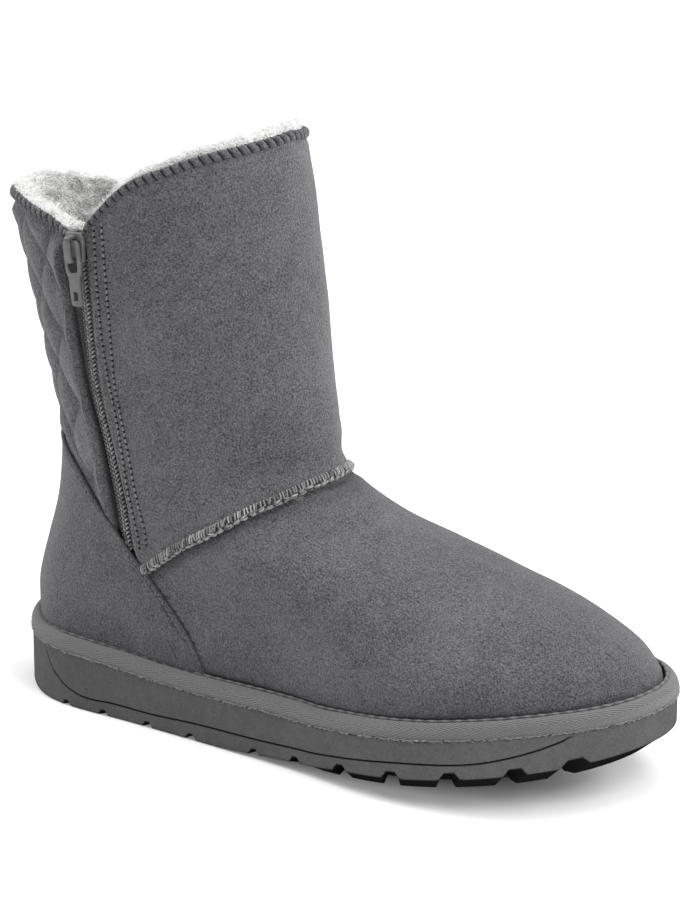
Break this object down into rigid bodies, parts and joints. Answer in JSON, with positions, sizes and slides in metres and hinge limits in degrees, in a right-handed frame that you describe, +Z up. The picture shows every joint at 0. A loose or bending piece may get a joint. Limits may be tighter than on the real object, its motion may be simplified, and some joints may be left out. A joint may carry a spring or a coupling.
{
  "type": "snow boot",
  "caption": "Mid-height winter boot, right foot: soft upper with fleece lining, lateral side zip with pull tab, quilted back, wrapped strip and lugged sole with toe spring",
  "frame": {"origin": "centre of the bounding box, on the plane the sole stands on", "axes": "+X from heel to toe, +Y to the medial (inner) side of this right boot, +Z up; the zip is on the -Y side"},
  "size_m": [0.2852, 0.1074, 0.238],
  "materials": {
    "sole_rubber": "matte moulded sole",
    "strip_textile": "woven textile",
    "fleece": "deep pile",
    "suede": "brushed suede cloth",
    "zip_tape": "woven tape with moulded coil",
    "zip_metal": "satin painted casting"
  },
  "bodies": {
    "boot": {"outsole": "sole_rubber", "sole_strip": "strip_textile", "insole": "fleece", "upper": "suede", "heel_counter": "suede", "zip_chain": "zip_tape", "zip_slider": "zip_metal"},
    "pull": {"zip_pull": "zip_metal"}
  },
  "joints": [
    {"name": "zip_pull_hinge", "type": "hinge", "parent": "boot", "child": "pull", "pos_m": [-0.08627, -0.04768, 0.19643], "axis": [-0.9918, 0.1169, -0.051], "range_deg": [0, 150]}
  ]
}
